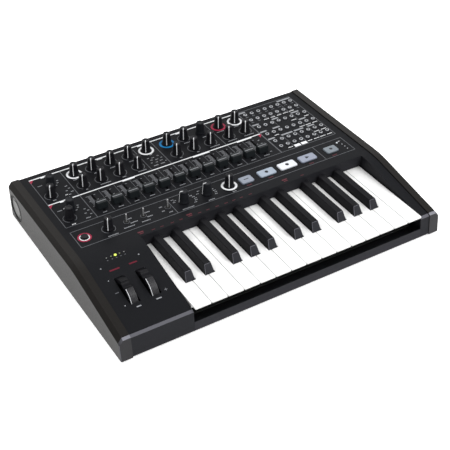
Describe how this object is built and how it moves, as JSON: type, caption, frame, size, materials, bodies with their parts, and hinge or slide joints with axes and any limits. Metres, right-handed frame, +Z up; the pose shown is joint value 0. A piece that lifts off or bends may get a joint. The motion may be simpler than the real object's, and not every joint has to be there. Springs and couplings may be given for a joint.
{
  "type": "synthesizer",
  "caption": "Desktop synthesizer with a small piano keyboard, two wheels, knobs, sliders, a patch field and grey end cheeks.",
  "frame": {"origin": "centre of the bounding box at the feet", "axes": "+X to the player's right, +Y away from the player, +Z up"},
  "size_m": [0.4876, 0.3428, 0.0755],
  "materials": {
    "black_key": "satin",
    "bottom_case": "dark grey powder coat",
    "cheek": "dark grey, fine texture",
    "circuit_boards": "green board",
    "control_bodies": "plated cans",
    "feet": "matt",
    "hinge_rod": "drawn rod",
    "key_springs": "spring strip",
    "keybed_frame": "black",
    "knob": "satin black",
    "leds": "diffused lens",
    "mod_wheel": "satin grip",
    "patch_jacks": "nickel nuts",
    "pitch_wheel": "satin grip",
    "power_switch": "black",
    "rear_connectors": "black",
    "round_button": "satin",
    "screws": "zinc",
    "selector_knob": "satin black",
    "side_discs": "satin",
    "slider_caps": "satin black",
    "strip_buttons": "lit translucent caps",
    "toggle_levers": "polished",
    "top_panel": "dark grey powder coat",
    "wheel_bracket": "folded",
    "white_key": "gloss"
  },
  "bodies": {
    "case": {"bottom_case": "bottom_case", "circuit_boards": "circuit_boards", "control_bodies": "control_bodies", "feet": "feet", "hinge_rod": "hinge_rod", "key_springs": "key_springs", "keybed_frame": "keybed_frame", "leds": "leds", "left_cheek": "cheek", "patch_jacks": "patch_jacks", "plain_knobs": "knob", "rear_connectors": "rear_connectors", "right_cheek": "cheek", "screws": "screws", "side_discs": "side_discs", "top_panel": "top_panel", "wheel_bracket": "wheel_bracket"},
    "black_key_01": {"black_key_01": "black_key"},
    "black_key_02": {"black_key_02": "black_key"},
    "black_key_03": {"black_key_03": "black_key"},
    "black_key_04": {"black_key_04": "black_key"},
    "black_key_05": {"black_key_05": "black_key"},
    "black_key_06": {"black_key_06": "black_key"},
    "black_key_07": {"black_key_07": "black_key"},
    "black_key_08": {"black_key_08": "black_key"},
    "black_key_09": {"black_key_09": "black_key"},
    "black_key_10": {"black_key_10": "black_key"},
    "white_key_01": {"white_key_01": "white_key"},
    "white_key_02": {"white_key_02": "white_key"},
    "white_key_03": {"white_key_03": "white_key"},
    "white_key_04": {"white_key_04": "white_key"},
    "white_key_05": {"white_key_05": "white_key"},
    "white_key_06": {"white_key_06": "white_key"},
    "white_key_07": {"white_key_07": "white_key"},
    "white_key_08": {"white_key_08": "white_key"},
    "white_key_09": {"white_key_09": "white_key"},
    "white_key_10": {"white_key_10": "white_key"},
    "white_key_11": {"white_key_11": "white_key"},
    "white_key_12": {"white_key_12": "white_key"},
    "white_key_13": {"white_key_13": "white_key"},
    "white_key_14": {"white_key_14": "white_key"},
    "white_key_15": {"white_key_15": "white_key"},
    "pitch_wheel": {"pitch_wheel": "pitch_wheel"},
    "mod_wheel": {"mod_wheel": "mod_wheel"},
    "ring_knob_a": {"ring_knob_a": "knob"},
    "ring_knob_b": {"ring_knob_b": "knob"},
    "ring_knob_c": {"ring_knob_c": "knob"},
    "ring_knob_d": {"ring_knob_d": "knob"},
    "ring_knob_e": {"ring_knob_e": "knob"},
    "ring_knob_f": {"ring_knob_f": "knob"},
    "selector_knob_a": {"selector_knob_a": "selector_knob"},
    "selector_knob_b": {"selector_knob_b": "selector_knob"},
    "selector_knob_c": {"selector_knob_c": "selector_knob"},
    "selector_knob_d": {"selector_knob_d": "selector_knob"},
    "selector_knob_e": {"selector_knob_e": "selector_knob"},
    "slider_caps": {"slider_caps": "slider_caps"},
    "strip_buttons": {"strip_buttons": "strip_buttons"},
    "round_button": {"round_button": "round_button"},
    "toggle_levers": {"toggle_levers": "toggle_levers"},
    "power_switch": {"power_switch": "power_switch"}
  },
  "joints": [
    {"name": "black_key_01_press", "type": "hinge", "parent": "case", "child": "black_key_01", "pos_m": [0, 0.0647, 0.0325], "axis": [1, 0, 0], "range_deg": [0, 2.45], "stiffness_Nm_per_rad": 0.6, "springref_deg": -14.32},
    {"name": "black_key_02_press", "type": "hinge", "parent": "case", "child": "black_key_02", "pos_m": [0, 0.0647, 0.0325], "axis": [1, 0, 0], "range_deg": [0, 2.45], "stiffness_Nm_per_rad": 0.6, "springref_deg": -14.32},
    {"name": "black_key_03_press", "type": "hinge", "parent": "case", "child": "black_key_03", "pos_m": [0, 0.0647, 0.0325], "axis": [1, 0, 0], "range_deg": [0, 2.45], "stiffness_Nm_per_rad": 0.6, "springref_deg": -14.32},
    {"name": "black_key_04_press", "type": "hinge", "parent": "case", "child": "black_key_04", "pos_m": [0, 0.0647, 0.0325], "axis": [1, 0, 0], "range_deg": [0, 2.45], "stiffness_Nm_per_rad": 0.6, "springref_deg": -14.32},
    {"name": "black_key_05_press", "type": "hinge", "parent": "case", "child": "black_key_05", "pos_m": [0, 0.0647, 0.0325], "axis": [1, 0, 0], "range_deg": [0, 2.45], "stiffness_Nm_per_rad": 0.6, "springref_deg": -14.32},
    {"name": "black_key_06_press", "type": "hinge", "parent": "case", "child": "black_key_06", "pos_m": [0, 0.0647, 0.0325], "axis": [1, 0, 0], "range_deg": [0, 2.45], "stiffness_Nm_per_rad": 0.6, "springref_deg": -14.32},
    {"name": "black_key_07_press", "type": "hinge", "parent": "case", "child": "black_key_07", "pos_m": [0, 0.0647, 0.0325], "axis": [1, 0, 0], "range_deg": [0, 2.45], "stiffness_Nm_per_rad": 0.6, "springref_deg": -14.32},
    {"name": "black_key_08_press", "type": "hinge", "parent": "case", "child": "black_key_08", "pos_m": [0, 0.0647, 0.0325], "axis": [1, 0, 0], "range_deg": [0, 2.45], "stiffness_Nm_per_rad": 0.6, "springref_deg": -14.32},
    {"name": "black_key_09_press", "type": "hinge", "parent": "case", "child": "black_key_09", "pos_m": [0, 0.0647, 0.0325], "axis": [1, 0, 0], "range_deg": [0, 2.45], "stiffness_Nm_per_rad": 0.6, "springref_deg": -14.32},
    {"name": "black_key_10_press", "type": "hinge", "parent": "case", "child": "black_key_10", "pos_m": [0, 0.0647, 0.0325], "axis": [1, 0, 0], "range_deg": [0, 2.45], "stiffness_Nm_per_rad": 0.6, "springref_deg": -14.32},
    {"name": "white_key_01_press", "type": "hinge", "parent": "case", "child": "white_key_01", "pos_m": [0, 0.0647, 0.0325], "axis": [1, 0, 0], "range_deg": [0, 2.45], "stiffness_Nm_per_rad": 0.6, "springref_deg": -14.32},
    {"name": "white_key_02_press", "type": "hinge", "parent": "case", "child": "white_key_02", "pos_m": [0, 0.0647, 0.0325], "axis": [1, 0, 0], "range_deg": [0, 2.45], "stiffness_Nm_per_rad": 0.6, "springref_deg": -14.32},
    {"name": "white_key_03_press", "type": "hinge", "parent": "case", "child": "white_key_03", "pos_m": [0, 0.0647, 0.0325], "axis": [1, 0, 0], "range_deg": [0, 2.45], "stiffness_Nm_per_rad": 0.6, "springref_deg": -14.32},
    {"name": "white_key_04_press", "type": "hinge", "parent": "case", "child": "white_key_04", "pos_m": [0, 0.0647, 0.0325], "axis": [1, 0, 0], "range_deg": [0, 2.45], "stiffness_Nm_per_rad": 0.6, "springref_deg": -14.32},
    {"name": "white_key_05_press", "type": "hinge", "parent": "case", "child": "white_key_05", "pos_m": [0, 0.0647, 0.0325], "axis": [1, 0, 0], "range_deg": [0, 2.45], "stiffness_Nm_per_rad": 0.6, "springref_deg": -14.32},
    {"name": "white_key_06_press", "type": "hinge", "parent": "case", "child": "white_key_06", "pos_m": [0, 0.0647, 0.0325], "axis": [1, 0, 0], "range_deg": [0, 2.45], "stiffness_Nm_per_rad": 0.6, "springref_deg": -14.32},
    {"name": "white_key_07_press", "type": "hinge", "parent": "case", "child": "white_key_07", "pos_m": [0, 0.0647, 0.0325], "axis": [1, 0, 0], "range_deg": [0, 2.45], "stiffness_Nm_per_rad": 0.6, "springref_deg": -14.32},
    {"name": "white_key_08_press", "type": "hinge", "parent": "case", "child": "white_key_08", "pos_m": [0, 0.0647, 0.0325], "axis": [1, 0, 0], "range_deg": [0, 2.45], "stiffness_Nm_per_rad": 0.6, "springref_deg": -14.32},
    {"name": "white_key_09_press", "type": "hinge", "parent": "case", "child": "white_key_09", "pos_m": [0, 0.0647, 0.0325], "axis": [1, 0, 0], "range_deg": [0, 2.45], "stiffness_Nm_per_rad": 0.6, "springref_deg": -14.32},
    {"name": "white_key_10_press", "type": "hinge", "parent": "case", "child": "white_key_10", "pos_m": [0, 0.0647, 0.0325], "axis": [1, 0, 0], "range_deg": [0, 2.45], "stiffness_Nm_per_rad": 0.6, "springref_deg": -14.32},
    {"name": "white_key_11_press", "type": "hinge", "parent": "case", "child": "white_key_11", "pos_m": [0, 0.0647, 0.0325], "axis": [1, 0, 0], "range_deg": [0, 2.45], "stiffness_Nm_per_rad": 0.6, "springref_deg": -14.32},
    {"name": "white_key_12_press", "type": "hinge", "parent": "case", "child": "white_key_12", "pos_m": [0, 0.0647, 0.0325], "axis": [1, 0, 0], "range_deg": [0, 2.45], "stiffness_Nm_per_rad": 0.6, "springref_deg": -14.32},
    {"name": "white_key_13_press", "type": "hinge", "parent": "case", "child": "white_key_13", "pos_m": [0, 0.0647, 0.0325], "axis": [1, 0, 0], "range_deg": [0, 2.45], "stiffness_Nm_per_rad": 0.6, "springref_deg": -14.32},
    {"name": "white_key_14_press", "type": "hinge", "parent": "case", "child": "white_key_14", "pos_m": [0, 0.0647, 0.0325], "axis": [1, 0, 0], "range_deg": [0, 2.45], "stiffness_Nm_per_rad": 0.6, "springref_deg": -14.32},
    {"name": "white_key_15_press", "type": "hinge", "parent": "case", "child": "white_key_15", "pos_m": [0, 0.0647, 0.0325], "axis": [1, 0, 0], "range_deg": [0, 2.45], "stiffness_Nm_per_rad": 0.6, "springref_deg": -14.32},
    {"name": "pitch_wheel_turn", "type": "hinge", "parent": "case", "child": "pitch_wheel", "pos_m": [-0.1983, -0.09835, 0.02916], "axis": [-1, 0, 0], "range_deg": [-35, 35], "stiffness_Nm_per_rad": 0.05},
    {"name": "mod_wheel_turn", "type": "hinge", "parent": "case", "child": "mod_wheel", "pos_m": [-0.1692, -0.09835, 0.02916], "axis": [-1, 0, 0], "range_deg": [-35, 35]},
    {"name": "ring_knob_a_turn", "type": "hinge", "parent": "case", "child": "ring_knob_a", "pos_m": [-0.1558, 0.143, 0.05608], "axis": [0, 0, 1], "range_deg": [-300, 0]},
    {"name": "ring_knob_b_turn", "type": "hinge", "parent": "case", "child": "ring_knob_b", "pos_m": [-0.0426, 0.143, 0.05608], "axis": [0, 0, 1], "range_deg": [-300, 0]},
    {"name": "ring_knob_c_turn", "type": "hinge", "parent": "case", "child": "ring_knob_c", "pos_m": [-0.0084, 0.143, 0.05608], "axis": [0, 0, 1], "range_deg": [-300, 0]},
    {"name": "ring_knob_d_turn", "type": "hinge", "parent": "case", "child": "ring_knob_d", "pos_m": [0.0785, 0.143, 0.05608], "axis": [0, 0, 1], "range_deg": [-300, 0]},
    {"name": "ring_knob_e_turn", "type": "hinge", "parent": "case", "child": "ring_knob_e", "pos_m": [0.1067, 0.143, 0.05608], "axis": [0, 0, 1], "range_deg": [-300, 0]},
    {"name": "ring_knob_f_turn", "type": "hinge", "parent": "case", "child": "ring_knob_f", "pos_m": [0.0142, 0.0063, 0.05699], "axis": [0, 0, 1], "range_deg": [-300, 0]},
    {"name": "selector_knob_a_turn", "type": "hinge", "parent": "case", "child": "selector_knob_a", "pos_m": [-0.1955, 0.1337, 0.05614], "axis": [0, 0, 1], "range_deg": [-120, 0]},
    {"name": "selector_knob_b_turn", "type": "hinge", "parent": "case", "child": "selector_knob_b", "pos_m": [0.0474, 0.143, 0.05608], "axis": [0, 0, 1], "range_deg": [-120, 0]},
    {"name": "selector_knob_c_turn", "type": "hinge", "parent": "case", "child": "selector_knob_c", "pos_m": [-0.1948, 0.0697, 0.05657], "axis": [0, 0, 1], "range_deg": [-120, 0]},
    {"name": "selector_knob_d_turn", "type": "hinge", "parent": "case", "child": "selector_knob_d", "pos_m": [-0.0571, 0.0063, 0.05699], "axis": [0, 0, 1], "range_deg": [-90, 60]},
    {"name": "selector_knob_e_turn", "type": "hinge", "parent": "case", "child": "selector_knob_e", "pos_m": [-0.021, 0.0063, 0.05699], "axis": [0, 0, 1], "range_deg": [-90, 60]},
    {"name": "sliders_slide", "type": "slide", "parent": "case", "child": "slider_caps", "axis": [0, 1, 0], "range_m": [-0.008, 0.024]},
    {"name": "strip_buttons_press", "type": "slide", "parent": "case", "child": "strip_buttons", "axis": [0, 0, -1], "range_m": [0, 0.001], "stiffness_N_per_m": 600, "springref_m": -0.001},
    {"name": "round_button_press", "type": "slide", "parent": "case", "child": "round_button", "axis": [0, 0, -1], "range_m": [0, 0.001], "stiffness_N_per_m": 300, "springref_m": -0.001},
    {"name": "toggle_levers_tilt", "type": "hinge", "parent": "case", "child": "toggle_levers", "pos_m": [0, 0.0073, 0.05598], "axis": [1, 0, 0], "range_deg": [-13, 13]},
    {"name": "power_switch_rock", "type": "hinge", "parent": "case", "child": "power_switch", "pos_m": [0, 0.1673, 0.029], "axis": [-1, 0, 0], "range_deg": [0, 12]}
  ]
}
